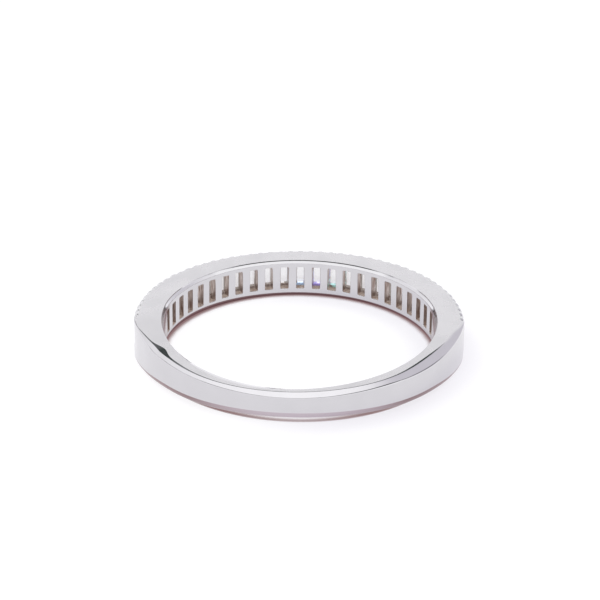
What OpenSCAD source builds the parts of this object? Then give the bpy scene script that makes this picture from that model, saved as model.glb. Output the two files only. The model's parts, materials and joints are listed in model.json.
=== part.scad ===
// Half-eternity ring: a channel of baguette stones between two milgrained rails, with a
// plain shank that tapers to the back. The ring lies on its side: +Z runs through the finger
// hole, +Y points to the middle of the stones, and the origin is the centre of the hole.

/* [Ring] */
// Diameter of the finger hole
hole_d = 17.3; // [15:0.1:20]
// Height of the stone half, measured through the hole
set_h = 2.55; // [2.5:0.05:3]
// Radial thickness of the stone half
set_t = 1.8; // [1.7:0.05:2.1]
// Height of the shank at the back
back_h = 1.7; // [1.5:0.02:2.2]
// Radial thickness of the shank at the back
back_t = 0.95; // [0.8:0.05:1.4]

/* [Edges] */
// Radial width of the polished bevel round the finger hole
hole_bevel_w = 0.07; // [0.04:0.01:0.16]
// Height of the polished bevel round the finger hole
hole_bevel_h = 0.23; // [0.1:0.01:0.24]
// Width of the shank's outer bevel at the back
shank_bevel_w = 0.36; // [0.2:0.01:0.4]
// Height of the shank's outer bevel at the back
shank_bevel_h = 0.22; // [0.12:0.01:0.3]
// How far the hand-cut outer bevel has drifted to the right
bevel_drift = 0.12; // [0:0.01:0.16]

/* [Stones] */
// Number of baguette stones
stone_count = 23; // [9:1:23]
// Angle from one stone to the next
stone_pitch = 6.95; // [6.9:0.01:7]
// Gap round each stone
stone_gap = 0.03; // [0.02:0.005:0.04]
// Length of a stone across the band
stone_l = 1.7; // [1.6:0.01:1.74]
// Depth of a stone from table to keel
stone_deep = 1.1; // [0.9:0.01:1.15]
// How far the tables lie below the rails
table_sink = 0.14; // [0.1:0.01:0.2]

/* [Windows] */
// Width of a gallery window
window_w = 0.54; // [0.4:0.01:0.6]
// Height of a gallery window
window_h = 1.56; // [1.4:0.01:1.6]

/* [Milgrain] */
// Number of beads on each rail
bead_count = 47; // [31:1:51]
// Radius of a bead
bead_r = 0.38; // [0.35:0.01:0.4]
// How deep a bead's centre lies under each face of the rail
bead_sink = 0.32; // [0.3:0.01:0.33]
// Width of the rail's outer chamfer, under the beads
rail_chamfer = 0.25; // [0.2:0.01:0.28]

/* [Hidden] */
$fn = 48;
over = 0.5;
hole_r = hole_d / 2;
rail_r = hole_r + set_t;
back_r = hole_r + back_t;
half_h = set_h / 2;
reach = rail_r + over;

// Plan of the shank: a second circle, moved towards the stones, that crosses the rails' circle
// just behind the last bead and comes down to the shank's thickness at the back
join_y = -0.6;
shank_shift = (rail_r * rail_r - back_r * back_r) / (2 * (back_r + join_y));
shank_r = back_r + shank_shift;

// Side view: the side faces are flat along the stones and fall towards the back
taper_y = -1;
taper = atan((set_h - back_h) / 2 / (back_r + taper_y));

// Outer bevel of the shank: a cone about an axis of its own, on the falling side face
bevel_start_y = -0.15;
bevel_cross_y = 1;
bevel_edge_r = back_r - shank_bevel_w;
bevel_shift = (rail_r * rail_r - bevel_edge_r * bevel_edge_r) / (2 * (bevel_edge_r + bevel_cross_y));
bevel_r = bevel_edge_r + bevel_shift;
bevel_reach = 1;

// Levels of a stone, as distances from the centre of the hole
crown_h = 0.22;
crown_step_h = 0.12;
girdle_h = 0.08;
table_r = rail_r - table_sink;
girdle_top_r = table_r - crown_h;
girdle_low_r = girdle_top_r - girdle_h;
crown_r = girdle_top_r + crown_step_h;
keel_r = table_r - stone_deep;
pavilion_step = 0.55;
step_r = girdle_low_r - (girdle_low_r - keel_r) * pavilion_step;

// Half widths of a stone at those levels, along the band and across it
half_w = girdle_low_r * tan(stone_pitch / 2) - stone_gap / 2;
half_l = stone_l / 2;
crown_in = 0.05;
table_in = 0.13;
step_narrow = 0.75;
step_short = 0.88;
keel_half_w = 0.2;
keel_half_l = 0.66;

// Channel for the stones: a groove takes the girdles, and the lips above it hold the crowns
lip_grip = 0.02;
lip_h = 0.1;
seat_low = 0.2;
seat_high = 0.12;
channel_half = half_l - lip_grip;
groove_half = half_l + stone_gap;
groove_r = girdle_top_r + stone_gap;
gallery_r = keel_r - 2 * stone_gap;
channel_arc = stone_pitch * stone_count + 0.4;
bead_step = 180 / bead_count;

function two_digits(i) = str(i < 10 ? "0" : "", i);
function stone_angle(i) = (i - (stone_count + 1) / 2) * stone_pitch;

// Turns its children from +Y towards +X
module at_angle(a) {
    rotate([0, 0, -a]) children();
}

// Block across the whole ring between two lines of equal Y
module stretch(y_from, y_to) {
    translate([-reach, y_from, -set_h]) cube([2 * reach, y_to - y_from, 2 * set_h]);
}

// Places a side view, drawn as Y and Z, across the ring
module across(half_width) {
    translate([-half_width, 0, 0]) rotate([90, 0, 90])
        linear_extrude(height = 2 * half_width) children();
}

module plan() {
    intersection() {
        circle(r = rail_r);
        translate([0, shank_shift]) circle(r = shank_r);
    }
}

module side_view() {
    low = half_h - tan(taper) * (reach + taper_y);
    polygon([
        [reach, -half_h], [reach, half_h], [taper_y, half_h],
        [-reach, low], [-reach, -low], [taper_y, -half_h]
    ]);
}

module blank() {
    intersection() {
        translate([0, 0, -half_h]) linear_extrude(height = set_h) plan();
        across(reach) side_view();
    }
}

// Puts its children on the falling side face, centred on the hole's axis
module on_taper() {
    translate([0, taper_y, half_h]) rotate([taper, 0, 0])
        translate([0, -taper_y / cos(taper), 0]) children();
}

// Cone that opens the end of the hole; its zero height is the side face
module hole_bevel_cone() {
    slope = hole_bevel_w / hole_bevel_h;
    translate([0, 0, -hole_bevel_h])
        cylinder(h = hole_bevel_h + over, r1 = hole_r, r2 = hole_r + slope * (hole_bevel_h + over));
}

// Ring that cuts an outer edge at a slope and leaves the side face up to radius r
module edge_ring(r, width, slope) {
    rotate_extrude()
        polygon([[r - over, over * slope], [r + width, over * slope], [r + width, -width * slope]]);
}

// Cutters for the upper side of the band; the lower side mirrors them
module side_cutters() {
    intersection() {
        translate([0, 0, half_h]) union() {
            hole_bevel_cone();
            edge_ring(rail_r - rail_chamfer, rail_chamfer + over, 1);
        }
        stretch(0, reach);
    }
    intersection() {
        on_taper() hole_bevel_cone();
        stretch(-reach, 0);
    }
    intersection() {
        on_taper() translate([-bevel_drift, bevel_shift, 0])
            edge_ring(bevel_r, bevel_reach, shank_bevel_h / shank_bevel_w);
        stretch(-reach, bevel_start_y);
    }
}

// Half of the channel's section, as distance from the hole's centre and height
channel_wall = [
    [gallery_r, channel_half], [girdle_low_r - seat_low, channel_half],
    [girdle_low_r - seat_high, groove_half], [groove_r, groove_half],
    [groove_r + lip_h, channel_half], [reach, channel_half]
];
module channel() {
    lower = [for (i = [len(channel_wall) - 1 : -1 : 0]) [channel_wall[i][0], -channel_wall[i][1]]];
    rotate([0, 0, 90 - channel_arc / 2]) rotate_extrude(angle = channel_arc)
        polygon(concat(channel_wall, lower));
}

module windows() {
    for (i = [1 : stone_count])
        at_angle(stone_angle(i))
            translate([-window_w / 2, hole_r - over, -window_h / 2])
                cube([window_w, gallery_r - hole_r + 2 * over, window_h]);
}

// Row of beads along the upper rail, level with the side face
module beads() {
    intersection() {
        for (i = [1 : bead_count])
            at_angle((i - 0.5) * bead_step - 90)
                translate([0, rail_r - bead_sink, half_h - bead_sink]) sphere(r = bead_r);
        cylinder(h = half_h, r = reach);
    }
}

module band() {
    color("gainsboro") difference() {
        union() {
            difference() {
                blank();
                side_cutters();
                mirror([0, 0, 1]) side_cutters();
            }
            beads();
            mirror([0, 0, 1]) beads();
        }
        translate([0, 0, -set_h]) cylinder(h = 2 * set_h, r = hole_r);
        channel();
        windows();
    }
}

// Outline of a stone from keel to table, for its half widths at the girdle, step and keel
module stone_outline(girdle, step, keel) {
    right = [
        [keel, keel_r], [step, step_r], [girdle, girdle_low_r], [girdle, girdle_top_r],
        [girdle - crown_in, crown_r], [girdle - table_in, table_r]
    ];
    polygon(concat(right, [for (i = [len(right) - 1 : -1 : 0]) [-right[i][0], right[i][1]]]));
}

// Step-cut baguette: what its outline along the band and its outline across it have in common
module stone(i) {
    color("aliceblue") at_angle(stone_angle(i)) intersection() {
        translate([0, 0, -stone_l]) linear_extrude(height = 2 * stone_l)
            stone_outline(half_w, half_w * step_narrow, keel_half_w);
        across(stone_l) mirror([1, -1, 0]) stone_outline(half_l, half_l * step_short, keel_half_l);
    }
}

band();
for (i = [1 : stone_count])
    stone(i);
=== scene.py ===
"""Looks of a half-eternity ring: the cast band with its windows and milgrain, and the clear stones.

The band is one closed metal surface in polar coordinates: an angle from +Y towards +X, a distance from
the finger hole's axis and a height. Sizes are in millimetres until a mesh is made, and in metres there.
A section line runs round the whole ring at one place of the band's section, and the section's own
coordinates are the distance from the axis and the drop below the side face.
"""

from __future__ import annotations

import json
import logging
import math
from abc import ABC, abstractmethod
from dataclasses import dataclass, field
from enum import Enum
from typing import Any

import bmesh
import bpy
import numpy as np
from mathutils import Matrix, Vector

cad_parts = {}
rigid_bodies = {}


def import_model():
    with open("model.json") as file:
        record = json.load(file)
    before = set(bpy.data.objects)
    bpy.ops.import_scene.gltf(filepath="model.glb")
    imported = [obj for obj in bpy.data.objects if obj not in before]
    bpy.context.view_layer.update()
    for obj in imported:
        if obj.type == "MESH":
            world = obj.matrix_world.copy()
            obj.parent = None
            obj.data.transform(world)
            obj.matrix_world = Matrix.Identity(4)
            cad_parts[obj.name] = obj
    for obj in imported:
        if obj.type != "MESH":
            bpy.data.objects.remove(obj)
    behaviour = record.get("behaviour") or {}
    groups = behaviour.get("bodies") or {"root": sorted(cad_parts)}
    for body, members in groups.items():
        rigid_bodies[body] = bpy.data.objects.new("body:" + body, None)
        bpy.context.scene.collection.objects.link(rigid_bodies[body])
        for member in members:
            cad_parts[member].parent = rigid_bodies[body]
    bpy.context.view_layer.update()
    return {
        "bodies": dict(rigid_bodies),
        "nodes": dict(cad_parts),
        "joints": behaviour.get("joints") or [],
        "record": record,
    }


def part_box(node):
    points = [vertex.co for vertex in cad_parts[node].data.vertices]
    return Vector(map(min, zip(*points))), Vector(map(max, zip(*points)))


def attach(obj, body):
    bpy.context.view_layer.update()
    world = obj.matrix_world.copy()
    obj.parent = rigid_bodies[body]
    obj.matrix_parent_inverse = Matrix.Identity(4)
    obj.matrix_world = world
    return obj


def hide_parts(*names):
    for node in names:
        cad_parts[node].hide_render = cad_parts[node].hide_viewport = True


LOG = logging.getLogger("ring")
MM = 0.001
WELD_MM = 0.0002
SLIVER_MM = 0.0001
TINY = 1e-9
IMAGE_PX = 600
SENSOR_MM = 36.0
ROOT = "root"

Array = np.ndarray
Colour = tuple[float, float, float]
OUTWARD = np.array([[1.0], [0.0]])


class Finish(Enum):
    """Finishes of the metal, in the order of the band's material slots."""

    POLISHED = 0
    SATIN = 1
    MILGRAIN = 2
    # Cast metal of the recesses, with painted shade.
    CAST = 3
    # Residue at the tunnels' ends, with a painted glow.
    RESIDUE = 4
    # Lower edges: metal with painted shade.
    TARNISHED = 5


def in_space(angle: Array, distance: Array, height: Array) -> Array:
    """Points of the ring from polar coordinates: x is distance times sine, y is distance times cosine.

    Args:
        angle: Angles from +Y towards +X, in radians.
        distance: Distances from the finger hole's axis.
        height: Heights along the axis.

    Returns:
        The points, with their three coordinates on the last axis.
    """
    a, r, z = np.broadcast_arrays(angle, distance, height)
    return np.stack([r * np.sin(a), r * np.cos(a), z], axis=-1)


def distance_to_circle(angle: Array, centre: tuple[float, float], radius: float) -> Array:
    """Distance from the axis to a circle that holds it: the positive root of the ray's quadratic.

    Args:
        angle: Angles of the rays, in radians.
        centre: Centre of the circle, as x and y.
        radius: Radius of the circle.

    Returns:
        One distance for each angle.
    """
    along = centre[0] * np.sin(angle) + centre[1] * np.cos(angle)
    aside = centre[0] ** 2 + centre[1] ** 2 - along**2
    return along + np.sqrt(radius**2 - aside)


def unwound(angle: Array) -> Array:
    """The same angles from minus pi to pi."""
    return np.mod(angle + math.pi, 2 * math.pi) - math.pi


def smooth_step(low: float, high: float, value: Array) -> Array:
    """Rises from 0 at low to 1 at high along a cubic that is level at both ends."""
    share = np.clip((value - low) / (high - low), 0.0, 1.0)
    return share * share * (3.0 - 2.0 * share)


def bell(value: Array, middle: float, spread: float) -> Array:
    """A Gaussian bump of height 1 about the middle."""
    return np.exp(-(((value - middle) / spread) ** 2))


@dataclass(frozen=True)
class Swell:
    """A smooth local change of a size round the ring, with its middle and spread in degrees."""

    size: float
    middle: float
    spread: float

    def at(self, degrees: Array) -> Array:
        """The change at each angle."""
        return self.size * bell(degrees, self.middle, self.spread)


def rounded_corner(before: Array, corner: Array, after: Array, reach: Array, steps: int = 5) -> Array:
    """Section lines round a corner, along a quadratic curve that is tangent to both of its sides.

    The curve starts at a reach before the corner and ends at a reach after it. One more line on each
    side, just past the curve, keeps smooth shading off the flat faces.

    Args:
        before: Section point before the corner at each angle, shape (2, angles).
        corner: The corner itself, in the same shape.
        after: Section point after the corner, in the same shape.
        reach: Distance from the corner to the curve's ends at each angle.
        steps: Number of lines on the curve.

    Returns:
        Section points, shape (steps + 2, 2, angles).
    """
    hold = 0.008
    back = (before - corner) / np.linalg.norm(before - corner, axis=0)
    onward = (after - corner) / np.linalg.norm(after - corner, axis=0)
    start, end = corner + reach * back, corner + reach * onward
    share = np.linspace(0.0, 1.0, steps)[:, None, None]
    curve = (1 - share) ** 2 * start + 2 * share * (1 - share) * corner + share**2 * end
    return np.concatenate([(start + hold * back)[None], curve, (end + hold * onward)[None]])


@dataclass
class Surface:
    """A set of point grids that are joined into one closed mesh."""

    points: list[Array] = field(default_factory=list)
    quads: list[Array] = field(default_factory=list)
    finishes: list[Array] = field(default_factory=list)
    count: int = 0

    def add(self, grid: Array, finish: Finish | Array) -> None:
        """Adds a grid of points as quads between its rows and columns.

        Args:
            grid: Points, shape (rows, columns, 3).
            finish: The grid's finish, or the material slot of each of its quads.
        """
        rows, columns = grid.shape[:2]
        index = self.count + np.arange(rows * columns).reshape(rows, columns)
        quads = np.stack([index[:-1, :-1], index[:-1, 1:], index[1:, 1:], index[1:, :-1]], axis=-1)
        if isinstance(finish, Finish):
            finish = np.full((rows - 1, columns - 1), finish.value)
        self.points.append(grid.reshape(-1, 3))
        self.quads.append(quads.reshape(-1, 4))
        self.finishes.append(finish.ravel())
        self.count += rows * columns

    def to_object(self, name: str, sharp_deg: float, soft: Finish) -> bpy.types.Object:
        """Welds the grids, turns every face outwards and marks the sharp edges.

        Args:
            name: Name of the new object.
            sharp_deg: Edges that turn by more than this are sharp.
            soft: A finish whose own edges all stay smooth.

        Returns:
            The object, linked to the scene.
        """
        mesh = bpy.data.meshes.new(name)
        mesh.from_pydata(np.concatenate(self.points) * MM, [], np.concatenate(self.quads))
        mesh.polygons.foreach_set("material_index", np.concatenate(self.finishes).astype(np.int32))
        mesh.polygons.foreach_set("use_smooth", np.ones(len(mesh.polygons), bool))
        work = bmesh.new()
        work.from_mesh(mesh)
        bmesh.ops.remove_doubles(work, verts=work.verts, dist=WELD_MM * MM)
        bmesh.ops.dissolve_degenerate(work, edges=work.edges, dist=SLIVER_MM * MM)
        bmesh.ops.recalc_face_normals(work, faces=work.faces)
        open_edges = sum(1 for edge in work.edges if len(edge.link_faces) != 2)
        work.to_mesh(mesh)
        work.free()
        mesh.set_sharp_from_angle(angle=math.radians(sharp_deg))
        self._soften(mesh, soft)
        piece = bpy.data.objects.new(name, mesh)
        bpy.context.scene.collection.objects.link(piece)
        LOG.info("%s: %d faces, %d open edges", name, len(mesh.polygons), open_edges)
        return piece

    @staticmethod
    def _soften(mesh: bpy.types.Mesh, soft: Finish) -> None:
        """Clears the sharp mark from edges with a face of one finish on both sides.

        Args:
            mesh: The mesh, with its sharp edges marked.
            soft: The finish.
        """
        edge_of_corner = np.empty(len(mesh.loops), np.int32)
        mesh.loops.foreach_get("edge_index", edge_of_corner)
        slots = np.empty(len(mesh.polygons), np.int32)
        corners = np.empty(len(mesh.polygons), np.int32)
        mesh.polygons.foreach_get("material_index", slots)
        mesh.polygons.foreach_get("loop_total", corners)
        on_soft = np.repeat(slots == soft.value, corners)
        sides = np.bincount(edge_of_corner[on_soft], minlength=len(mesh.edges))
        mark = mesh.attributes.get("sharp_edge") or mesh.attributes.new("sharp_edge", "BOOLEAN", "EDGE")
        sharp = np.empty(len(mesh.edges), bool)
        mark.data.foreach_get("value", sharp)
        mark.data.foreach_set("value", sharp & (sides < 2))


@dataclass(frozen=True)
class Sizes:
    """Sizes of the ring in millimetres: those that the frame holds, and further given ones."""

    hole_r: float
    half_h: float
    rail_r: float
    back_r: float
    stone_count: int
    stone_half: float
    keel_r: float
    table_r: float
    back_half: float = 0.846
    fall_power: float = 1.75
    stone_pitch: float = math.radians(6.95)
    join_y: float = -0.6
    thinning: float = 0.1
    thinning_deg: tuple[float, float] = (91.0, 107.0)
    thinning_ends_deg: tuple[float, float] = (115.0, 145.0)
    side_lean: float = 0.07
    bend: float = 0.16
    bend_at: float = math.radians(-8.0)

    @classmethod
    def from_frame(cls, frame: dict, bead_proud: float) -> Sizes:
        """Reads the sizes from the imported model.

        Args:
            bead_proud: How far the beads stand out of the rails.

        Returns:
            The ring's sizes.
        """
        low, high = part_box("band")
        stones = sorted(name for name in frame["nodes"] if name.startswith("stone_"))
        stone_low, stone_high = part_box(stones[len(stones) // 2])
        hole = next(m for m in frame["record"]["mounts"] if m["name"] == "finger_hole")
        return cls(
            hole_r=hole["dims"]["r_mm"],
            half_h=(high.z - low.z) / 2 / MM,
            rail_r=high.y / MM - bead_proud,
            back_r=-low.y / MM,
            stone_count=len(stones),
            stone_half=(stone_high.z - stone_low.z) / 2 / MM,
            keel_r=stone_low.y / MM,
            table_r=stone_high.y / MM,
        )

    def side_height(self, angle: Array) -> Array:
        """Height of the side face: level along the stones, then falling to the back of the shank.

        The fall goes with a power of the cosine of the angle behind the stones.
        """
        behind = np.maximum(-np.cos(angle), 0.0)
        return self.half_h - (self.half_h - self.back_half) * behind**self.fall_power

    def outer_radius(self, angle: Array) -> Array:
        """Distance to the outer wall: the rails' circle, or the shank's where that lies inside it.

        The shank's circle is moved towards the stones. It passes through the back of the shank and
        crosses the rails' circle at the join. Just behind the join the shank is filed thinner.

        Args:
            angle: Angles round the ring, from minus pi to pi.

        Returns:
            One distance for each angle.
        """
        shift = (self.rail_r**2 - self.back_r**2) / (2 * (self.back_r + self.join_y))
        shank = distance_to_circle(angle, (0.0, shift), self.back_r + shift)
        turn = np.degrees(np.abs(angle))
        filed = smooth_step(*self.thinning_deg, turn) - smooth_step(*self.thinning_ends_deg, turn)
        return np.minimum(self.rail_r, shank) - self.thinning * filed

    def bent(self, angle: Array, distance: Array) -> Array:
        """Distances in a rim that was bent a little out of round in the stone half.

        The bend goes with the cosine of three times the angle, fades towards the back and grows from
        the finger hole to the outer wall.

        Args:
            angle: Angles round the ring, in radians.
            distance: Distances from the axis before the bend.

        Returns:
            The distances after it.
        """
        share = (distance - self.hole_r) / (self.rail_r - self.hole_r)
        wave = np.cos(3.0 * (angle - self.bend_at)) * (1.0 + np.cos(angle)) / 2.0
        return distance - self.bend * share * wave

    def leaning(self, angle: Array, height: Array) -> Array:
        """Heights of the ring with its upper side face higher on the shank's right than on its left.

        Heights above the middle are stretched by a share that goes with the sine times the squared
        cosine of the angle behind the stones, scaled to peak at the lean.

        Args:
            angle: Angles round the ring, in radians.
            height: Heights before the lean.

        Returns:
            The heights after it.
        """
        behind = np.minimum(np.cos(angle), 0.0)
        share = self.side_lean * 1.5 * math.sqrt(3.0) * np.sin(angle) * behind**2
        return height + np.maximum(height, 0.0) * share


@dataclass(frozen=True)
class BeadRow:
    """A row of milgrain beads along one rail, each pressed by hand a little off its place."""

    seed: int
    count: int = 47
    radius: float = 0.38
    sink: float = 0.32
    chamfer: float = 0.25
    radius_spread: float = 0.012
    radius_loss: float = 0.03
    place_spread: float = 0.012
    worn: float = 0.025
    worn_deg: tuple[float, float] = (-75.0, -50.0)
    ends_deg: tuple[float, float] = (89.7, 90.9)

    @property
    def proud(self) -> float:
        """How far a bead stands out of the rail."""
        return self.radius - self.sink

    def directions(self, lip: float) -> Array:
        """Directions of the section lines about the beads' centre line, from the side face to the lip.

        Args:
            lip: How far the lip lies below the side face.

        Returns:
            Fourteen angles above the outward direction, in radians.
        """
        edge = math.atan2(self.sink, self.sink - self.chamfer)
        low = -math.atan2(lip - self.sink, self.sink)
        upper = np.array([math.pi / 2, (math.pi / 2 + edge) / 2])
        across = np.linspace(edge, math.pi / 2 - edge, 9)
        lower = np.linspace(math.pi / 2 - edge, low, 5)[1:-1]
        return np.concatenate([upper, across, lower])

    def lines(self, angle: Array, rail_r: float, lip: float) -> Array:
        """Section lines over the beads and the chamfer under them.

        Along a direction from the centre line, the metal reaches to the outer wall, the chamfer or the
        side face, whichever is nearest, or to the sphere of the nearest bead if that is further. No
        bead rises over the side face or passes the lip.

        Args:
            angle: Angles round the ring, in radians.
            rail_r: Distance from the axis to the outer wall.
            lip: How far the lip lies below the side face.

        Returns:
            Section points, shape (14, 2, angles).
        """
        rng = np.random.default_rng(self.seed)
        step = math.pi / self.count
        centre_r = rail_r - self.sink
        places = (np.arange(self.count) + 0.5) * step - math.pi / 2
        places = places + rng.normal(0.0, self.place_spread, self.count) / centre_r
        loss = rng.normal(0.0, self.radius_spread, self.count).clip(-self.radius_loss, 0.0)
        radii = self.radius + loss - self.worn * (1.0 - smooth_step(*self.worn_deg, np.degrees(places)))
        aside = centre_r * np.abs(angle[:, None] - places[None, :])
        bead = np.sqrt(np.maximum(radii**2 - aside**2, 0.0)).max(axis=1)
        way = self.directions(lip)[:, None]
        with np.errstate(divide="ignore"):
            to_wall = self.sink / np.maximum(np.cos(way), TINY)
            to_side = np.where(way > 0, self.sink / np.maximum(np.sin(way), TINY), np.inf)
            to_lip = np.where(way < 0, (lip - self.sink) / np.maximum(np.sin(-way), TINY), np.inf)
        to_chamfer = (2 * self.sink - self.chamfer) / (np.cos(way) + np.sin(way))
        base = np.minimum(np.minimum(to_wall, to_side), to_chamfer)
        reach = np.minimum(np.maximum(base, bead[None, :]), np.minimum(to_side, to_lip))
        return np.stack([centre_r + reach * np.cos(way), self.sink - reach * np.sin(way)], axis=1)


class Side(ABC):
    """Shape of one side of the ring: the edge of the finger hole and the shank's outer edge."""

    edges: Finish

    @abstractmethod
    def mouth(self, sizes: Sizes, turn: Array, start: Array) -> Array:
        """Section lines round the edge of the finger hole.

        Args:
            sizes: The ring's sizes.
            turn: Angles round the ring, from minus pi to pi.
            start: Section point on the finger hole's wall at each angle, shape (2, angles).

        Returns:
            Section points, shape (18, 2, angles).
        """

    @abstractmethod
    def edge(self, sizes: Sizes, turn: Array, end: Array) -> Array:
        """Section lines round the shank's outer edge.

        Args:
            sizes: The ring's sizes.
            turn: Angles round the ring, from minus pi to pi.
            end: Section point on the outer wall at each angle, shape (2, angles).

        Returns:
            Section points, shape (14, 2, angles).
        """


@dataclass(frozen=True)
class FiledSide(Side):
    """A side with a polished bevel at the finger hole and a bevel that was filed along the shank."""

    hole_bevel_w: float = 0.07
    hole_bevel_h: float = 0.23
    hole_bevel_beside: Swell = Swell(0.05, 70.0, 15.0)
    hole_edge_w: float = 0.045
    hole_edge_h: float = 0.06
    hole_edge_beside: float = 0.3
    hole_rounding: float = 0.03
    shoulder_worn: Swell = Swell(0.27, 206.0, 25.0)
    bevel_w: float = 0.29
    bevel_slope: float = 0.61
    bevel_back: Swell = Swell(0.07, 180.0, 25.0)
    bevel_right: Swell = Swell(0.22, 121.0, 17.0)
    bevel_left: Swell = Swell(-0.05, -140.0, 22.0)
    bevel_least: float = 0.05
    right_deg: tuple[float, float] = (88.0, 104.0)
    left_deg: tuple[float, float] = (91.0, 116.0)
    facet_w: float = 0.05
    facet_deg: tuple[float, float] = (95.0, 105.0)
    facet_slips: tuple[Swell, Swell] = (Swell(0.3, -117.0, 4.5), Swell(0.09, -128.0, 13.0))
    facet_start: Swell = Swell(0.12, 100.0, 9.0)
    facet_right: Swell = Swell(0.08, 126.0, 16.0)
    facet_least: float = 0.01
    facet_tilt: float = math.radians(11.0)
    crisp: float = 0.008
    soft_start: Swell = Swell(0.1, 100.0, 12.0)
    rounding_w: float = 0.035
    rounding_right: Swell = Swell(0.05, 135.0, 25.0)
    shoulder_share: float = 0.25
    soft_share: float = 0.2
    facet_share: float = 0.45
    rounding_share: float = 0.3
    edges: Finish = Finish.POLISHED

    def shoulder(self, turn: Array) -> Array:
        """Width of the slope between the hole's bevel and the side face, worn wide left of the back.

        Its narrow part goes with the squared cosine of the angle, down to a share at both sides.
        """
        narrowing = self.hole_edge_beside + (1.0 - self.hole_edge_beside) * np.cos(turn) ** 2
        return self.hole_edge_w * narrowing + self.shoulder_worn.at(np.degrees(np.mod(turn, 2 * math.pi)))

    def hole_bevel_width(self, turn: Array) -> Array:
        """Width of the polished bevel at the hole, which was cut a little wider towards both sides."""
        return self.hole_bevel_w + self.hole_bevel_beside.at(np.degrees(np.abs(turn)))

    def bevel_width(self, turn: Array) -> Array:
        """Width of the bevel along the shank: a little wider at the back and much so on the right.

        Args:
            turn: Angles round the ring, from minus pi to pi.

        Returns:
            One width for each angle.
        """
        at = np.degrees(turn)
        swells = self.bevel_back.at(np.abs(at)) + self.bevel_right.at(at) + self.bevel_left.at(at)
        grown = np.where(at < 0, smooth_step(*self.left_deg, -at), smooth_step(*self.right_deg, at))
        return np.maximum((self.bevel_w + swells) * grown, self.bevel_least)

    def facet_width(self, turn: Array) -> Array:
        """Width of the narrow facet between the side face and the bevel.

        The facet fades out on the left before the bevel does. The file has slipped at one place there
        and pressed harder along the right. Where the bevel starts on the right, the facet is wide and
        the side face runs softly into the bevel.

        Args:
            turn: Angles round the ring, from minus pi to pi.

        Returns:
            One width for each angle.
        """
        at = np.degrees(turn)
        plain = self.facet_w * np.where(at < 0, smooth_step(*self.facet_deg, -at), 1.0)
        swells = (*self.facet_slips, self.facet_start, self.facet_right)
        return np.maximum(plain + sum(swell.at(at) for swell in swells), self.facet_least)

    def mouth(self, sizes: Sizes, turn: Array, start: Array) -> Array:
        """Three corners: from the wall to the bevel, to a slope beside it and to the side face.

        Args:
            sizes: The ring's sizes.
            turn: Angles round the ring, from minus pi to pi.
            start: Section point on the finger hole's wall at each angle.

        Returns:
            Section points, shape (18, 2, angles).
        """
        flat = np.ones_like(turn)
        inner_r = sizes.hole_r + self.hole_bevel_width(turn)
        slope_w = self.shoulder(turn)
        wall = np.stack([sizes.hole_r * flat, self.hole_bevel_h * flat])
        inner = np.stack([inner_r, self.hole_edge_h * flat])
        side = np.stack([inner_r + slope_w, 0.0 * flat])
        return np.concatenate(
            [
                start[None],
                rounded_corner(start, wall, inner, self.hole_rounding * flat),
                rounded_corner(wall, inner, side, self.crisp * flat, steps=3),
                rounded_corner(inner, side, side + OUTWARD, self.shoulder_share * slope_w, steps=3),
            ]
        )

    def edge(self, sizes: Sizes, turn: Array, end: Array) -> Array:
        """Three corners: from the side face to the facet, to the bevel and to the outer wall.

        Args:
            sizes: The ring's sizes.
            turn: Angles round the ring, from minus pi to pi.
            end: Section point on the outer wall at each angle.

        Returns:
            Section points, shape (14, 2, angles).
        """
        at = np.degrees(turn)
        outer_r = sizes.outer_radius(turn)
        width, facet = self.bevel_width(turn), self.facet_width(turn)
        dip = facet * math.tan(self.facet_tilt)
        side = np.stack([outer_r - width - facet, 0.0 * turn])
        crest = np.stack([outer_r - width, dip])
        outer = np.stack([outer_r, dip + width * self.bevel_slope])
        fine = self.crisp * np.ones_like(turn)
        soft = fine + np.minimum(self.soft_start.at(np.abs(at)), width * self.soft_share)
        soft = np.minimum(soft, facet * self.facet_share)
        rounding = self.rounding_w + self.rounding_right.at(at)
        rounding = np.minimum(rounding, width * self.rounding_share)
        return np.concatenate(
            [
                rounded_corner(side - OUTWARD, side, crest, fine, steps=2),
                rounded_corner(side, crest, outer, soft, steps=2),
                rounded_corner(crest, outer, end, rounding, steps=4),
            ]
        )


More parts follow.
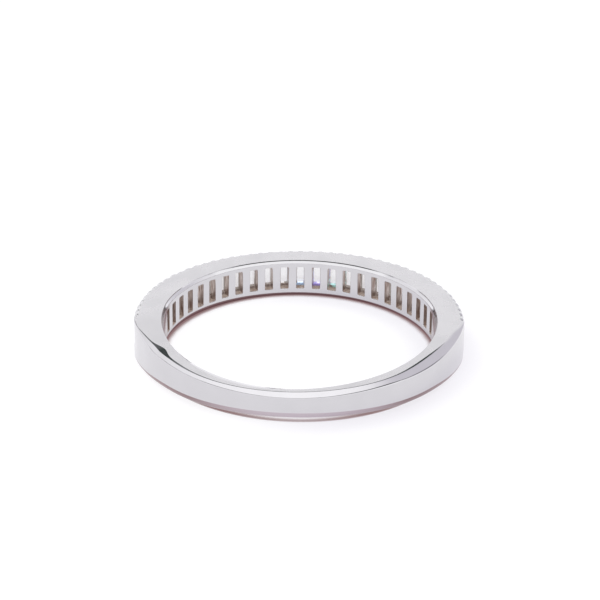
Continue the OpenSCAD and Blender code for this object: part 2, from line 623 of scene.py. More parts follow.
@dataclass(frozen=True)
class WornSide(Side):
    """A side whose edges are worn: a slope at the finger hole and a rounding along the shank."""

    hole_slope: float = 0.4
    hole_worn_h: float = 0.21
    hole_worn_left: Swell = Swell(0.14, -58.0, 30.0)
    hole_reach: tuple[float, float] = (0.03, 0.05)
    crisp: float = 0.03
    edge_rounding: float = 0.44
    edge_deg: tuple[float, float] = (91.0, 125.0)
    # The edges take metal with painted shade, a painted reflection of the shaded floor under the ring.
    edges: Finish = Finish.TARNISHED

    def mouth(self, sizes: Sizes, turn: Array, start: Array) -> Array:
        """Two corners: from the wall to the worn slope, which is highest on the left, and to the side.

        Args:
            sizes: The ring's sizes.
            turn: Angles round the ring, from minus pi to pi.
            start: Section point on the finger hole's wall at each angle.

        Returns:
            Section points, shape (18, 2, angles).
        """
        flat = np.ones_like(turn)
        worn_h = self.hole_worn_h + self.hole_worn_left.at(np.degrees(turn))
        wall = np.stack([sizes.hole_r * flat, worn_h])
        corner = np.stack([sizes.hole_r + self.hole_slope * worn_h, 0.0 * flat])
        upper, lower = self.hole_reach
        return np.concatenate(
            [
                start[None],
                rounded_corner(start, wall, corner, upper * flat),
                rounded_corner(wall, corner, corner + OUTWARD, lower * flat, steps=8),
            ]
        )

    def edge(self, sizes: Sizes, turn: Array, end: Array) -> Array:
        """One rounding from the side face to the outer wall, which grows behind the stones.

        Args:
            sizes: The ring's sizes.
            turn: Angles round the ring, from minus pi to pi.
            end: Section point on the outer wall at each angle.

        Returns:
            Section points, shape (14, 2, angles).
        """
        corner = np.stack([sizes.outer_radius(turn), np.zeros_like(turn)])
        grown = smooth_step(*self.edge_deg, np.degrees(np.abs(turn)))
        reach = self.crisp + (self.edge_rounding - self.crisp) * grown
        return rounded_corner(corner - OUTWARD, corner, end, reach, steps=12)


@dataclass(frozen=True)
class Windows:
    """The gallery behind the stones: one window for each stone, cast and cleaned up by hand."""

    width: float = 0.54
    height: float = 1.56
    mouth: float = 0.035
    corner: float = 0.07
    hand: float = 0.014
    seed: int = 11

    def outline(self, u: Array, v: Array, grow: float, wobble: Array) -> tuple[Array, Array]:
        """A rounded rectangle with slightly bent sides.

        A point of the unit square's edge is scaled to the window's half sizes. Beyond the centre of a
        corner's arc it is moved on to that arc. The sides then bend along cubics and the ends tilt.

        Args:
            u: Place on the unit square along the band, from -1 to 1.
            v: Place on the unit square across the band, from -1 to 1.
            grow: How far the outline lies outside the window's own.
            wobble: Eight random numbers of this window.

        Returns:
            Places along the band and across it.
        """
        half_w, half_h, arc = self.width / 2 + grow, self.height / 2 + grow, self.corner + grow
        x, z = u * half_w, v * half_h
        core_x = np.clip(x, arc - half_w, half_w - arc)
        core_z = np.clip(z, arc - half_h, half_h - arc)
        off_x, off_z = x - core_x, z - core_z
        length = np.hypot(off_x, off_z)
        in_corner = (np.abs(off_x) > TINY) & (np.abs(off_z) > TINY)
        scale = np.where(in_corner, arc / np.maximum(length, TINY), 1.0)
        side = np.where(u > 0, wobble[0] + wobble[1] * v + wobble[2] * v**2, wobble[3] + wobble[4] * v**3)
        end = np.where(v > 0, wobble[5], wobble[6]) + wobble[7] * u
        x = core_x + off_x * scale + self.hand * side * np.abs(u)
        z = core_z + off_z * scale + self.hand * end * np.abs(v)
        return x, z

    def tunnel(self, u: Array, v: Array, hole_r: float, floor_r: float, wobble: Array) -> list[Array]:
        """Rings of points from the rounded mouth at the finger hole to the gallery floor.

        The mouth is a quarter circle: at a share of it, the outline has still to shrink by the mouth's
        radius times one less the sine, and lies one less the cosine deep. The walls are parallel, so
        that a place along the band is turned into an angle by the arcsine at its own distance.

        Args:
            u: Place on the unit square along the band.
            v: Place on the unit square across the band.
            hole_r: Distance from the axis to the finger hole's wall.
            floor_r: Distance from the axis to the gallery floor.
            wobble: Eight random numbers of this window.

        Returns:
            Rings as arrays of angle, distance and height, from the mouth inwards.
        """
        share = np.linspace(0.0, math.pi / 2, 5)
        grow = self.mouth * (1.0 - np.sin(share))
        depth = self.mouth * (1.0 - np.cos(share))
        hold = 0.012
        grow = np.concatenate([[self.mouth + hold], grow, [0.0, 0.0]])
        depth = np.concatenate([[0.0], depth, [self.mouth + hold, floor_r - hole_r]])
        rings = []
        for extra, deep in zip(grow, depth):
            x, z = self.outline(u, v, float(extra), wobble)
            r = np.full_like(x, hole_r + deep)
            rings.append(np.stack([np.arcsin(x / r), r, z]))
        return rings


@dataclass
class Band:
    """The cast metal of the ring: gallery, rails with milgrain, and the tapering shank."""

    sizes: Sizes
    upper_beads: BeadRow
    lower_beads: BeadRow
    windows: Windows = field(default_factory=Windows)
    upper_side: Side = field(default_factory=FiledSide)
    lower_side: Side = field(default_factory=WornSide)
    along: int = 24
    across: int = 16
    lip_grip: float = 0.02
    lip_h: float = 0.1
    stone_gap: float = 0.03
    cell_margin: float = 0.1
    crown_h: float = 0.22
    girdle_h: float = 0.08
    seat: tuple[float, float] = (0.2, 0.12)
    shank_wall: float = 0.3
    wall_deg: tuple[float, float] = (91.0, 95.0)
    end_gap: float = math.radians(0.2)
    fine_step: float = math.radians(0.3)
    coarse_step: float = math.radians(0.8)
    fine_to: float = math.radians(97.0)
    wall_strips: int = 4
    mouth_strips: int = 5
    sharp_deg: float = 32.0

    @property
    def row_end(self) -> float:
        """Half of the angle that the row of stones takes."""
        return self.sizes.stone_count * self.sizes.stone_pitch / 2

    @property
    def channel_end(self) -> float:
        """Half of the angle that the channel takes."""
        return self.row_end + self.end_gap

    @property
    def floor_r(self) -> float:
        """Distance from the axis to the gallery floor, just clear of the stones' keels."""
        return self.sizes.keel_r - 2 * self.stone_gap

    @property
    def channel_half(self) -> float:
        """Half of the channel's width at its lip."""
        return self.sizes.stone_half - self.lip_grip

    @property
    def cell_half(self) -> float:
        """Half height of the stretch of the finger hole's wall that holds the windows."""
        return self.windows.height / 2 + self.cell_margin

    @property
    def levels(self) -> Array:
        """Places across the band from -1 to 1, closer together towards both ends."""
        return np.sin(np.linspace(-math.pi / 2, math.pi / 2, self.across + 1))

    def stone_columns(self) -> Array:
        """Angles of the section planes along the stones, which fall on the edges of each cell."""
        return np.linspace(-self.row_end, self.row_end, self.sizes.stone_count * self.along + 1)

    def shank_columns(self) -> Array:
        """Angles of the section planes from one channel end round the back to the other.

        Returns:
            Rising angles in radians, closer together near the channel's ends.
        """
        fine = np.linspace(
            self.channel_end,
            self.fine_to,
            math.ceil((self.fine_to - self.channel_end) / self.fine_step) + 1,
        )
        steps = math.ceil((2 * math.pi - 2 * self.fine_to) / self.coarse_step)
        coarse = np.linspace(self.fine_to, 2 * math.pi - self.fine_to, steps + 1)[1:-1]
        return np.concatenate([fine, coarse, 2 * math.pi - fine[::-1]])

    def around(self) -> Array:
        """Angles of all section planes, from one end of the row of stones round to itself."""
        stones = self.stone_columns()
        return np.concatenate([stones, self.shank_columns(), [stones[0] + 2 * math.pi]])

    def wall_share(self, turn: Array) -> Array:
        """Share of the outer wall's height between the rims: the channel's width, less behind it."""
        along = self.channel_half / self.sizes.half_h
        return along + (self.shank_wall - along) * smooth_step(*self.wall_deg, np.degrees(np.abs(turn)))

    def rim(self, angle: Array, beads: BeadRow, side: Side) -> tuple[Array, Array]:
        """Section lines of a rim, from the finger hole's wall over the side face to the outer wall.

        The strips next to both walls are polished, the one across the side face is satin and those
        under the beads have the milgrain's finish. The others take the finish of the side's edges.

        Args:
            angle: Angles round the ring.
            beads: The rim's row of beads.
            side: The shape of its side.

        Returns:
            Section points as distance and drop, shape (lines, 2, angles), and the material slot of the
            strip between each two lines, shape (lines - 1, angles - 1).
        """
        s = self.sizes
        turn = unwound(angle)
        height = s.side_height(turn)
        start = np.stack([np.full_like(turn, s.hole_r), height * (1 - self.cell_half / s.half_h)])
        end = np.stack([s.outer_radius(turn), height * (1 - self.wall_share(turn))])
        mouth = side.mouth(s, turn, start)
        beaded = beads.lines(turn, s.rail_r, s.half_h - self.channel_half)
        low, high = np.radians(beads.ends_deg)
        blend = smooth_step(low, high, np.abs(turn))
        zone = beaded * (1 - blend) + side.edge(s, turn, end) * blend
        lines = np.concatenate([mouth, zone])
        lines[:, 0] = s.bent(turn, lines[:, 0])
        lines = np.concatenate([lines, end[None]])
        face = len(mouth)
        slots = np.full((len(lines) - 1, len(turn) - 1), Finish.POLISHED.value)
        slots[self.wall_strips : face] = side.edges.value
        slots[face + 1 : -2] = side.edges.value
        slots[face - 2 : face] = Finish.SATIN.value
        beaded_part = (np.abs(turn[:-1]) + np.abs(turn[1:])) / 2 < high
        slots[face:, beaded_part] = Finish.MILGRAIN.value
        return lines, slots

    def build(self) -> bpy.types.Object:
        """Makes the band's mesh from its rims, walls, cells, channel and channel ends.

        Returns:
            The band's object, still without its materials.
        """
        surface = Surface()
        self._add_rims(surface)
        self._add_walls(surface)
        self._add_cells(surface)
        self._add_channel(surface)
        return surface.to_object("cast_band", self.sharp_deg, Finish.MILGRAIN)

    def _add_rims(self, surface: Surface) -> None:
        """Adds both rims: a line's height is that of the side face over it, less its drop.

        Args:
            surface: The band's surface so far.
        """
        angle = self.around()
        rims = ((self.upper_beads, self.upper_side, 1.0), (self.lower_beads, self.lower_side, -1.0))
        for beads, side, way in rims:
            lines, slots = self.rim(angle, beads, side)
            height = way * (self.sizes.side_height(angle) - lines[:, 1])
            surface.add(in_space(angle, lines[:, 0], self.sizes.leaning(angle, height)), slots)

    def _add_walls(self, surface: Surface) -> None:
        """Adds the shank's inner and outer walls, each a grid of angle and height.

        Args:
            surface: The band's surface so far.
        """
        s = self.sizes
        outside = self.shank_columns()
        inside = np.concatenate([[self.row_end], outside, [2 * math.pi - self.row_end]])
        turn = unwound(outside)
        walls = (
            (inside, np.full_like(inside, s.hole_r), self.cell_half / s.half_h),
            (outside, s.outer_radius(turn), self.wall_share(turn)),
        )
        for angle, distance, share in walls:
            height = self.levels[:, None] * (s.side_height(angle) * share)
            surface.add(in_space(angle, distance, s.leaning(angle, height)), Finish.POLISHED)

    def _add_cells(self, surface: Surface) -> None:
        """Adds a cell for each stone: the wall round its window, the tunnel and the gallery floor.

        Every ring of a cell has the points of a square's edge. The first ring is the cell's edge on
        the finger hole's wall, and the last is the cell's edge on the gallery floor. Inside its
        polished mouth, a tunnel's walls are cast metal with painted shade, and its upper and lower
        ends have residue with a painted glow.

        Args:
            surface: The band's surface so far.
        """
        s = self.sizes
        half_pitch = s.stone_pitch / 2
        u_side, v_side = np.linspace(-1, 1, self.along + 1), self.levels
        ones_u, ones_v = np.ones(self.along + 1), np.ones(self.across + 1)
        u = np.concatenate([u_side[:-1], ones_v[:-1], u_side[:0:-1], -ones_v])
        v = np.concatenate([-ones_u[:-1], v_side[:-1], ones_u[1:], v_side[::-1]])
        at_end = np.abs(v[:-1] + v[1:]) == 2.0
        inner = np.where(at_end, Finish.RESIDUE.value, Finish.CAST.value)
        rng = np.random.default_rng(self.windows.seed)
        for i in range(s.stone_count):
            middle = (i - (s.stone_count - 1) / 2) * s.stone_pitch
            wobble = rng.uniform(-1.0, 1.0, 8)
            rings = self.windows.tunnel(u, v, s.hole_r, self.floor_r, wobble)
            first = np.stack([u * half_pitch, np.full_like(u, s.hole_r), v * self.cell_half])
            last = np.stack([u * half_pitch, np.full_like(u, self.floor_r), v * self.channel_half])
            stack = np.stack([first, *rings, last])
            grid = in_space(middle + stack[:, 0], stack[:, 1], stack[:, 2])
            slots = np.full((len(stack) - 1, len(u) - 1), Finish.POLISHED.value)
            slots[self.mouth_strips :] = inner
            surface.add(grid, slots)

    def _channel_lines(self) -> Array:
        """Distance and half width of the channel at each of its section lines, from floor to lip.

        Returns:
            The lines, shape (6, 2).
        """
        top_r = self.sizes.table_r - self.crown_h
        low_r = top_r - self.girdle_h
        groove_half = self.sizes.stone_half + self.stone_gap
        groove_r = top_r + self.stone_gap
        return np.array(
            [
                [self.floor_r, self.channel_half],
                [low_r - self.seat[0], self.channel_half],
                [low_r - self.seat[1], groove_half],
                [groove_r, groove_half],
                [groove_r + self.lip_h, self.channel_half],
                [self.sizes.rail_r, self.channel_half],
            ]
        )

    def _add_channel(self, surface: Surface) -> None:
        """Adds the channel's two walls, the ends of its floor and its end walls.

        Args:
            surface: The band's surface so far.
        """
        lines = self._channel_lines()
        angle = np.concatenate([[-self.channel_end], self.stone_columns(), [self.channel_end]])
        for way in (1.0, -1.0):
            wall = in_space(angle, lines[:, :1], way * lines[:, 1:])
            surface.add(wall, Finish.CAST)
        for way in (1.0, -1.0):
            floor_angle = way * np.array([self.row_end, self.channel_end])
            height = self.levels[:, None] * self.channel_half
            surface.add(in_space(floor_angle, np.full(2, self.floor_r), height), Finish.CAST)
            end_height = lines[:, 1:] * self.levels
            surface.add(in_space(way * self.channel_end, lines[:, :1], end_height), Finish.CAST)


def new_material(name: str) -> tuple[bpy.types.Material, bpy.types.Node]:
    """Makes a node material.

    Args:
        name: Name of the material.

    Returns:
        The material and its Principled shader.
    """
    material = bpy.data.materials.new(name)
    material.use_nodes = True
    return material, material.node_tree.nodes["Principled BSDF"]


@dataclass(frozen=True)
class NodeKit:
    """Short ways to add shader nodes to a tree."""

    tree: bpy.types.NodeTree

    def plug(self, slot: bpy.types.NodeSocket, value: Any) -> None:
        """Links a socket to a node's input, or sets the input to a number.

        Args:
            slot: The input.
            value: The socket, or the number or numbers.
        """
        if isinstance(value, bpy.types.NodeSocket):
            self.tree.links.new(value, slot)
        else:
            slot.default_value = value

    def add(self, kind: str, data_type: str | None = None, **inputs: Any) -> bpy.types.Node:
        """Adds a node.

        Args:
            kind: The node's type.
            data_type: What the node works on, where it has a choice.
            inputs: Values of its inputs by name, as sockets or numbers.

        Returns:
            The node.
        """
        node = self.tree.nodes.new(kind)
        if data_type is not None:
            node.data_type = data_type
        for name, value in inputs.items():
            self.plug(node.inputs[name], value)
        return node

    def number(self, operation: str, *values: Any) -> bpy.types.NodeSocket:
        """Adds a math node and returns its result.

        Args:
            operation: The node's operation.
            values: Its inputs, as sockets or numbers.

        Returns:
            The result's socket.
        """
        node = self.tree.nodes.new("ShaderNodeMath")
        node.operation = operation
        for slot, value in zip(node.inputs, values):
            self.plug(slot, value)
        return node.outputs["Value"]

    def ramp(self, value: Any, none_at: Any, full_at: Any) -> bpy.types.NodeSocket:
        """Adds a smooth ramp from 0 at one value to 1 at another.

        Args:
            value: What the ramp reads, as a socket or number.
            none_at: The value that gives 0.
            full_at: The value that gives 1.

        Returns:
            The result's socket.
        """
        node = self.tree.nodes.new("ShaderNodeMapRange")
        node.interpolation_type = "SMOOTHSTEP"
        self.plug(node.inputs["From Min"], none_at)
        self.plug(node.inputs["From Max"], full_at)
        self.plug(node.inputs["Value"], value)
        return node.outputs["Result"]

    def scaled(
        self, value: Any, source: tuple[float, float], target: tuple[float, float] = (0.0, 1.0)
    ) -> bpy.types.NodeSocket:
        """Adds a straight map from one range to another, held at both ends.

        Args:
            value: What the map reads, as a socket or number.
            source: The range of the value.
            target: The range of the result.

        Returns:
            The result's socket.
        """
        node = self.add("ShaderNodeMapRange", Value=value)
        for name, number in zip(("From Min", "From Max", "To Min", "To Max"), (*source, *target)):
            node.inputs[name].default_value = number
        return node.outputs["Result"]

    def mixed(self, share: Any, first: Any, second: Any) -> bpy.types.NodeSocket:
        """Adds a mix from the first colour to the second.

        Args:
            share: The second colour's share, as a socket or number.
            first: The first colour, or its socket.
            second: The second colour, or its socket.

        Returns:
            The mixed colour's socket.
        """
        node = self.add("ShaderNodeMix", data_type="RGBA", Factor=share)
        for slot, colour in ((node.inputs["A"], first), (node.inputs["B"], second)):
            self.plug(slot, (*colour, 1.0) if isinstance(colour, tuple) else colour)
        return node.outputs["Result"]

    def noise(self, place: bpy.types.NodeSocket, per_mm: float, detail: float) -> bpy.types.NodeSocket:
        """Adds a noise by its waves in a millimetre, and returns its value."""
        return self.add("ShaderNodeTexNoise", Vector=place, Scale=per_mm / MM, Detail=detail).outputs["Fac"]

    def place(self) -> bpy.types.NodeSocket:
        """Adds the object coordinates and returns them."""
        return self.add("ShaderNodeTexCoord").outputs["Object"]

    def split_place(self) -> bpy.types.bpy_prop_collection:
        """Adds the object coordinates and returns their X, Y and Z by name."""
        return self.add("ShaderNodeSeparateXYZ", Vector=self.place()).outputs

    def tones(self, value: Any, stops: list[tuple[float, Colour]]) -> bpy.types.NodeSocket:
        """Adds a colour ramp with stops at values from 0 to 1.

        Args:
            value: What the ramp reads, as a socket or number.
            stops: Each stop's value and colour, by rising values.

        Returns:
            The colour's socket.
        """
        node = self.add("ShaderNodeValToRGB", Fac=value)
        elements = node.color_ramp.elements
        for _ in range(len(stops) - len(elements)):
            elements.new(0.5)
        for element, (position, colour) in zip(elements, stops):
            element.position = position
            element.color = (*colour, 1.0)
        return node.outputs["Color"]


@dataclass(frozen=True)
class Metal:
    """A finish of the white metal: its colour, gloss and grain."""

    name: str
    colour: Colour
    colour_worn: Colour
    roughness: float
    roughness_worn: float
    grain_per_mm: float
    grain_depth: float
    grain_detail: float = 4.0
    cloud_per_mm: float = 0.6
    cloud_detail: float = 3.0
    streak: float = 1.0
    contrast: float = 1.0
    gloss_from: tuple[float, float] = (0.3, 0.7)
    metallic: float = 1.0
    glow: float = 0.0

    def make(self) -> bpy.types.Material:
        """Makes the finish: a cloudy mix of two tones and glosses, with a fine grain as bump.

        The clouds can be drawn out into streaks along the finger hole. A finish in a recess has a
        faint painted glow that stands in for the light that it scatters.

        Returns:
            The material.
        """
        material, shader = new_material(self.name)
        kit = NodeKit(material.node_tree)
        place = kit.place()
        drawn = kit.add("ShaderNodeMapping", Vector=place, Scale=(1.0, 1.0, 1.0 / self.streak))
        cloud = kit.noise(drawn.outputs["Vector"], self.cloud_per_mm, self.cloud_detail)
        spread = 0.5 / self.contrast
        tone = kit.mixed(kit.scaled(cloud, (0.5 - spread, 0.5 + spread)), self.colour, self.colour_worn)
        gloss = kit.scaled(cloud, self.gloss_from, (self.roughness, self.roughness_worn))
        grain = kit.noise(place, self.grain_per_mm, self.grain_detail)
        bump = kit.add("ShaderNodeBump", Height=grain, Distance=self.grain_depth * MM)
        kit.plug(shader.inputs["Base Color"], tone)
        kit.plug(shader.inputs["Roughness"], gloss)
        kit.plug(shader.inputs["Normal"], bump.outputs["Normal"])
        # Painted glow of the finish's own tone, for the finishes in recesses.
        kit.plug(shader.inputs["Emission Color"], tone)
        shader.inputs["Metallic"].default_value = self.metallic
        shader.inputs["Emission Strength"].default_value = self.glow
        return material


@dataclass(frozen=True)
class PaintedEdgeShade:
    """Metal of the worn lower edges with painted shade, a painted reflection of the shaded floor, with
    tones at places along Y.
    """

    name: str = "tarnished_edge_metal"
    # Painted shade tones at places along Y.
    tones: tuple[tuple[float, Colour], ...] = (
        (-9.7, (0.55, 0.485, 0.53)),
        (-7.2, (0.31, 0.23, 0.235)),
        (5.5, (0.48, 0.37, 0.39)),
        (8.8, (0.33, 0.24, 0.25)),
    )
    roughness: float = 0.25

    def make(self) -> bpy.types.Material:
        """Makes the painted shade as a ramp of the tones, lightest at the back of the shank.

        Returns:
            The material.
        """
        material, shader = new_material(self.name)
        kit = NodeKit(material.node_tree)
        first, last = self.tones[0][0], self.tones[-1][0]
        share = kit.scaled(kit.split_place()["Y"], (first * MM, last * MM))
        stops = [((at - first) / (last - first), colour) for at, colour in self.tones]
        kit.plug(shader.inputs["Base Color"], kit.tones(share, stops))
        shader.inputs["Roughness"].default_value = self.roughness
        shader.inputs["Metallic"].default_value = 1.0
        return material


@dataclass(frozen=True)
class ClearStone:
    """Clear step-cut stone: a highly refracting glass with a faint painted glow, and maybe a patch of
    painted coloured glint.
    """

    name: str = "clear_stone"
    colour: Colour = (0.69, 0.695, 0.71)
    # Faint painted glow of the glass.
    painted_glow: Colour = (0.05, 0.044, 0.041)
    refraction: float = 2.16
    # Painted coloured glint: a glowing patch with darker glass.
    painted_glint: Colour | None = None
    painted_glint_glass: float = 0.06
    painted_glint_height: float = -0.785
    painted_glint_half: float = 0.075
    painted_glint_core: float = 0.3
    painted_glint_side: tuple[float, float] = (-0.3, 0.3)

    def make(self) -> bpy.types.Material:
        """Makes the glass with a faint painted glow.

        In the painted glint's patch, a glow of the glint's colour takes the faint glow's place and the
        glass is darker.

        Returns:
            The material.
        """
        material, shader = new_material(self.name)
        shader.inputs["Base Color"].default_value = (*self.colour, 1.0)
        shader.inputs["Roughness"].default_value = 0.0
        shader.inputs["IOR"].default_value = self.refraction
        shader.inputs["Transmission Weight"].default_value = 1.0
        shader.inputs["Emission Color"].default_value = (*self.painted_glow, 1.0)
        shader.inputs["Emission Strength"].default_value = 1.0
        if self.painted_glint is not None:
            kit = NodeKit(material.node_tree)
            glint_share = self._painted_glint_patch(kit)
            kit.plug(shader.inputs["Emission Color"], kit.mixed(glint_share, self.painted_glow, self.painted_glint))
            kit.plug(shader.inputs["Base Color"], kit.mixed(glint_share, self.colour, 3 * (self.painted_glint_glass,)))
        return material

    def _painted_glint_patch(self, kit: NodeKit) -> bpy.types.NodeSocket:
        """Adds the painted glint's share: a soft strip about a height, cut off at two places along X.

        Args:
            kit: The material's nodes.

        Returns:
            The share's socket.
        """
        place = kit.split_place()
        off = kit.number("ABSOLUTE", kit.number("SUBTRACT", place["Z"], self.painted_glint_height * MM))
        strip = kit.ramp(off, self.painted_glint_half * MM, self.painted_glint_core * self.painted_glint_half * MM)
        low, high = self.painted_glint_side
        after = kit.number("GREATER_THAN", place["X"], low * MM)
        before = kit.number("LESS_THAN", place["X"], high * MM)
        return kit.number("MULTIPLY", strip, kit.number("MULTIPLY", after, before))


METALS: dict[Finish, Metal | PaintedEdgeShade] = {
    Finish.POLISHED: Metal(
        name="polished_white_metal",
        colour=(0.66, 0.648, 0.67),
        colour_worn=(0.61, 0.60, 0.62),
        roughness=0.07,
        roughness_worn=0.12,
        grain_per_mm=14.0,
        grain_depth=0.0006,
    ),
    Finish.SATIN: Metal(
        name="satin_white_metal",
        colour=(0.695, 0.682, 0.70),
        colour_worn=(0.645, 0.635, 0.655),
        roughness=0.24,
        roughness_worn=0.32,
        grain_per_mm=11.0,
        grain_depth=0.0022,
    ),
    Finish.MILGRAIN: Metal(
        name="milgrain_white_metal",
        colour=(0.66, 0.655, 0.665),
        colour_worn=(0.62, 0.615, 0.63),
        roughness=0.14,
        roughness_worn=0.24,
        grain_per_mm=14.0,
        grain_depth=0.001,
    ),
    # Cast metal of the recesses: its streaked brown tones are partly painted shade of the recess, and its
    # faint glow is painted light.
    Finish.CAST: Metal(
        name="cast_recess_metal",
        colour=(0.76, 0.69, 0.65),
        colour_worn=(0.34, 0.23, 0.19),
        roughness=0.25,
        roughness_worn=0.45,
        grain_per_mm=9.0,
        grain_depth=0.01,
        cloud_per_mm=11.0,
        streak=8.0,
        contrast=3.0,
        glow=0.04,
    ),
    # Brown residue at the tunnel ends, with a painted glow that stands in for light reaching them.
    Finish.RESIDUE: Metal(
        name="residue_in_recess",
        colour=(0.60, 0.51, 0.45),
        colour_worn=(0.40, 0.30, 0.25),
        roughness=0.5,
        roughness_worn=0.6,
        grain_per_mm=9.0,
        grain_depth=0.01,
        cloud_per_mm=4.0,
        contrast=2.5,
        metallic=0.3,
        glow=0.28,
    ),
    Finish.TARNISHED: PaintedEdgeShade(),
}


@dataclass(frozen=True)
class Card:
    """A stretch of the studio that is darker or lighter than the soft light round it.

    Directions are an azimuth from +Y towards +X and a height above the horizon, in degrees.
    """

    azimuth: float
    height: float
    half_width: float
    half_height: float
    soft: float
    colour: Colour


@dataclass(frozen=True)
class Sky:
    """Soft studio light all round the ring: tones at heights above the horizon, and the cards."""

    tones: tuple[tuple[float, Colour], ...] = (
        (0.0, (1.38, 1.38, 1.40)),
        (13.0, (1.15, 1.15, 1.17)),
        (30.0, (1.06, 1.06, 1.07)),
        (50.0, (1.20, 1.20, 1.22)),
        (90.0, (1.40, 1.40, 1.41)),
    )
    cards: tuple[Card, ...] = (
        Card(57.0, 38.0, 30.0, 28.0, 26.0, (0.84, 0.82, 0.88)),
        Card(-24.0, 38.0, 11.0, 10.0, 5.0, (0.05, 0.065, 0.06)),
        Card(20.0, 44.5, 9.0, 7.0, 4.0, (0.05, 0.065, 0.06)),
        Card(0.0, 53.0, 32.0, 9.0, 5.0, (0.16, 0.17, 0.17)),
        Card(180.0, 16.0, 75.0, 9.0, 6.0, (1.34, 1.35, 1.35)),
        Card(180.0, 44.0, 88.0, 15.0, 6.0, (0.10, 0.10, 0.105)),
        Card(82.0, 27.0, 18.0, 8.0, 6.0, (0.12, 0.12, 0.13)),
        Card(-82.0, 27.0, 18.0, 8.0, 6.0, (0.12, 0.12, 0.13)),
    )

    def make(self) -> None:
        """Makes the world: a ramp of tones over the sine of the height, with the cards over it."""
        world = bpy.data.worlds.new("studio")
        world.use_nodes = True
        tree = world.node_tree
        kit = NodeKit(tree)
        way = kit.add("ShaderNodeTexCoord").outputs["Generated"]
        split = kit.add("ShaderNodeSeparateXYZ", Vector=way).outputs
        azimuth = kit.number("ARCTAN2", split["X"], split["Y"])
        height = kit.number("ARCSINE", split["Z"])
        stops = [(math.sin(math.radians(at)), colour) for at, colour in self.tones]
        light = kit.tones(split["Z"], stops)
        for card in self.cards:
            light = self._lay_card(kit, light, azimuth, height, card)
        kit.plug(tree.nodes["Background"].inputs["Color"], light)
        bpy.context.scene.world = world

    @staticmethod
    def _lay_card(
        kit: NodeKit,
        light: bpy.types.NodeSocket,
        azimuth: bpy.types.NodeSocket,
        height: bpy.types.NodeSocket,
        card: Card,
    ) -> bpy.types.NodeSocket:
        """Mixes a card's colour into the light: fully inside its edges, and fading over its soft rim.

        Args:
            kit: The world's nodes.
            light: The light so far.
            azimuth: The direction's azimuth, in radians.
            height: The direction's height above the horizon, in radians.
            card: The card.

        Returns:
            The light with the card in it.
        """
        turned = kit.number("SUBTRACT", azimuth, math.radians(card.azimuth))
        turned = kit.number("WRAP", turned, math.pi, -math.pi)
        raised = kit.number("SUBTRACT", height, math.radians(card.height))
        shares = []
        for offset, half in ((turned, card.half_width), (raised, card.half_height)):
            none_at, full_at = math.radians(half + card.soft / 2), math.radians(half - card.soft / 2)
            shares.append(kit.ramp(kit.number("ABSOLUTE", offset), none_at, full_at))
        return kit.mixed(kit.number("MULTIPLY", *shares), light, card.colour)


@dataclass(frozen=True)
class Floor:
    """Pale light table that the ring lies on."""

    half: float = 700.0
    gap: float = 0.002
    colour: Colour = (0.25, 0.249, 0.253)
    # Painted warm contact shade where the ring hems the floor in.
    shade: Colour = (0.07, 0.044, 0.045)
    shade_reach: tuple[float, float] = (0.5, 0.75)
    shade_from: tuple[float, float] = (0.0, 0.42)
    shade_to: tuple[float, float] = (0.17, 0.82)
    hole_edge: tuple[float, float] = (9.4, 8.9)
    # Painted soft shadow round the ring's right side.
    painted_shadow: Colour = (0.225, 0.222, 0.232)
    painted_shadow_reach: float = 3.0
    painted_shadow_open: tuple[float, float] = (0.6, 0.98)
    painted_shadow_from: tuple[float, float] = (-5.0, 3.0)
    glow: float = 3.4
    roughness: float = 0.9
    specular: float = 0.2

    def make(self, height: float) -> None:
        """Makes the floor just under a height in millimetres.

        Args:
            height: Height of the ring's lowest point.
        """
        corners = np.array([[-1, -1], [1, -1], [1, 1], [-1, 1]]) * self.half
        points = np.column_stack([corners, np.full(4, height - self.gap)]) * MM
        mesh = bpy.data.meshes.new("floor")
        mesh.from_pydata(points, [], [(0, 1, 2, 3)])
        mesh.materials.append(self._material())
        floor = bpy.data.objects.new("floor", mesh)
        bpy.context.scene.collection.objects.link(floor)
        LOG.info("floor: %.3f mm under the ring", self.gap)

    def _material(self) -> bpy.types.Material:
        """Makes the floor's finish, which glows, with painted warm dark shade where the ring hems it in.

        The sizes of this painted shade are pairs, for outside the ring and for inside its hole. A wider
        and fainter painted shadow lies round the ring's right side.

        Returns:
            The material.
        """
        material, shader = new_material("pale_floor")
        kit = NodeKit(material.node_tree)
        place = kit.split_place()
        # Painted soft shadow, faded in towards +X.
        right = kit.ramp(place["X"], *(at * MM for at in self.painted_shadow_from))
        wide = kit.add("ShaderNodeAmbientOcclusion", Distance=self.painted_shadow_reach * MM)
        hidden = kit.number("SUBTRACT", 1.0, kit.ramp(wide.outputs["AO"], *self.painted_shadow_open))
        with_painted_shadow = kit.mixed(kit.number("MULTIPLY", hidden, right), self.colour, self.painted_shadow)
        squares = (kit.number("POWER", place[axis], 2.0) for axis in "XY")
        centre = kit.number("SQRT", kit.number("ADD", *squares))
        inside = kit.ramp(centre, *(edge * MM for edge in self.hole_edge))
        reach, low_open, high_open = (
            kit.number("MULTIPLY_ADD", inside, (pair[1] - pair[0]) * scale, pair[0] * scale)
            for pair, scale in ((self.shade_reach, MM), (self.shade_from, 1.0), (self.shade_to, 1.0))
        )
        # Painted contact shade from ambient occlusion, wider inside the hole.
        near = kit.add("ShaderNodeAmbientOcclusion", Distance=reach)
        tone = kit.mixed(kit.ramp(near.outputs["AO"], low_open, high_open), self.shade, with_painted_shadow)
        kit.plug(shader.inputs["Base Color"], tone)
        kit.plug(shader.inputs["Emission Color"], tone)
        shader.inputs["Emission Strength"].default_value = self.glow
        shader.inputs["Roughness"].default_value = self.roughness
        shader.inputs["Specular IOR Level"].default_value = self.specular
        return material


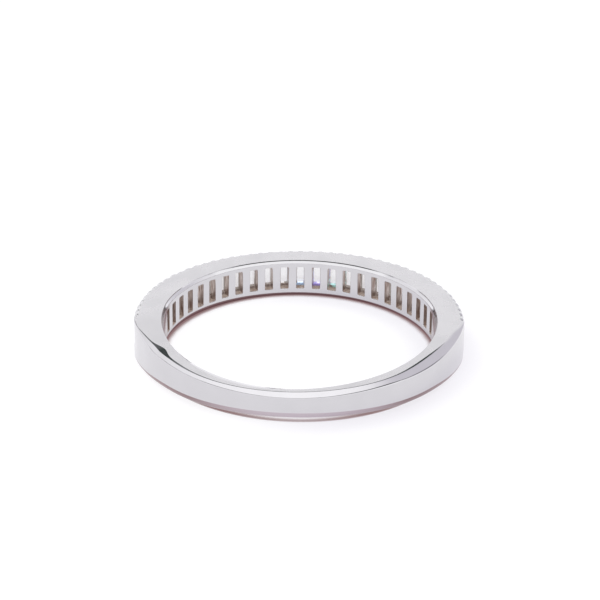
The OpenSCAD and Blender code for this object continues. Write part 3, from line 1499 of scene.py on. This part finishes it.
@dataclass(frozen=True)
class Lamp:
    """A soft box: a square area light that faces the ring."""

    azimuth_deg: float
    elevation_deg: float
    distance: float
    width: float
    power: float
    colour: Colour = (1.0, 0.99, 1.0)

    def make(self, name: str) -> None:
        """Makes the light at its direction from the ring, and turns it to the ring.

        Args:
            name: Name of the light.
        """
        data = bpy.data.lights.new(name, "AREA")
        data.size = self.width * MM
        data.energy = self.power
        data.color = self.colour
        lamp = bpy.data.objects.new(name, data)
        a, e = math.radians(self.azimuth_deg), math.radians(self.elevation_deg)
        away = Vector((math.sin(a) * math.cos(e), math.cos(a) * math.cos(e), math.sin(e)))
        lamp.location = away * self.distance * MM
        lamp.rotation_mode = "QUATERNION"
        lamp.rotation_quaternion = away.to_track_quat("Z", "Y")
        bpy.context.scene.collection.objects.link(lamp)


@dataclass(frozen=True)
class Camera:
    """The photograph's view: where the camera stands, and the pixel that shows the ring's centre."""

    azimuth_deg: float = 0.2
    elevation_deg: float = 26.6
    distance: float = 161.6
    focal_px: float = 2543.0
    centre_px: tuple[float, float] = (299.3, 336.0)
    roll_deg: float = 0.58
    clip_m: tuple[float, float] = (0.01, 10.0)

    def make(self) -> None:
        """Makes the camera: it looks at the ring's centre, rolls, then turns to put it on its pixel."""
        data = bpy.data.cameras.new("camera")
        data.sensor_width = SENSOR_MM
        data.lens = self.focal_px * SENSOR_MM / IMAGE_PX
        data.clip_start, data.clip_end = self.clip_m
        camera = bpy.data.objects.new("camera", data)
        a, e = math.radians(self.azimuth_deg), math.radians(self.elevation_deg)
        back = Vector((math.sin(a) * math.cos(e), -math.cos(a) * math.cos(e), math.sin(e)))
        look = (-back).to_track_quat("-Z", "Y").to_matrix()
        roll = Matrix.Rotation(math.radians(self.roll_deg), 3, "Z")
        up = math.atan2(self.centre_px[1] - IMAGE_PX / 2, self.focal_px)
        right = math.atan2(IMAGE_PX / 2 - self.centre_px[0], self.focal_px)
        aim = Matrix.Rotation(up, 3, "X") @ Matrix.Rotation(-right, 3, "Y")
        turned = (look @ roll @ aim).to_4x4()
        camera.matrix_world = Matrix.Translation(back * self.distance * MM) @ turned
        bpy.context.scene.collection.objects.link(camera)
        bpy.context.scene.camera = camera


# Painted coloured glints on three stones, standing in for their fire.
PAINTED_GLINTS = {
    "stone_12": ClearStone("stone_with_blue_fire", painted_glint=(0.32, 0.60, 0.98)),
    "stone_13": ClearStone("stone_with_violet_fire", painted_glint=(0.28, 0.25, 0.90), painted_glint_side=(0.8, 1.6)),
    "stone_14": ClearStone("stone_with_green_fire", painted_glint=(0.30, 0.80, 0.80), painted_glint_side=(2.15, 2.6)),
}


def dress_stones(frame: dict) -> None:
    """Gives every stone of the frame the clear stone's glass, and three of them a painted coloured glint.
    """
    plain = ClearStone().make()
    for name, node in frame["nodes"].items():
        if name.startswith("stone_"):
            glass = PAINTED_GLINTS[name].make() if name in PAINTED_GLINTS else plain
            node.data.materials.clear()
            node.data.materials.append(glass)
            LOG.info("%s: %s", name, glass.name)


def main() -> None:
    """Builds the ring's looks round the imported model, and the studio."""
    logging.basicConfig(level=logging.INFO, format="%(message)s")
    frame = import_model()
    upper_beads, lower_beads = BeadRow(seed=3), BeadRow(seed=8)
    sizes = Sizes.from_frame(frame, upper_beads.proud)
    LOG.info("sizes: %s", sizes)
    Camera().make()
    band = Band(sizes, upper_beads, lower_beads).build()
    for finish in Finish:
        band.data.materials.append(METALS[finish].make())
    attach(band, ROOT)
    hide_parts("band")
    dress_stones(frame)
    Floor().make(-sizes.half_h)
    Sky().make()
    Lamp(azimuth_deg=180.0, elevation_deg=68.0, distance=400.0, width=200.0, power=0.05).make("key")
    bpy.context.scene.view_settings.view_transform = "Standard"


if __name__ == "__main__":
    main()
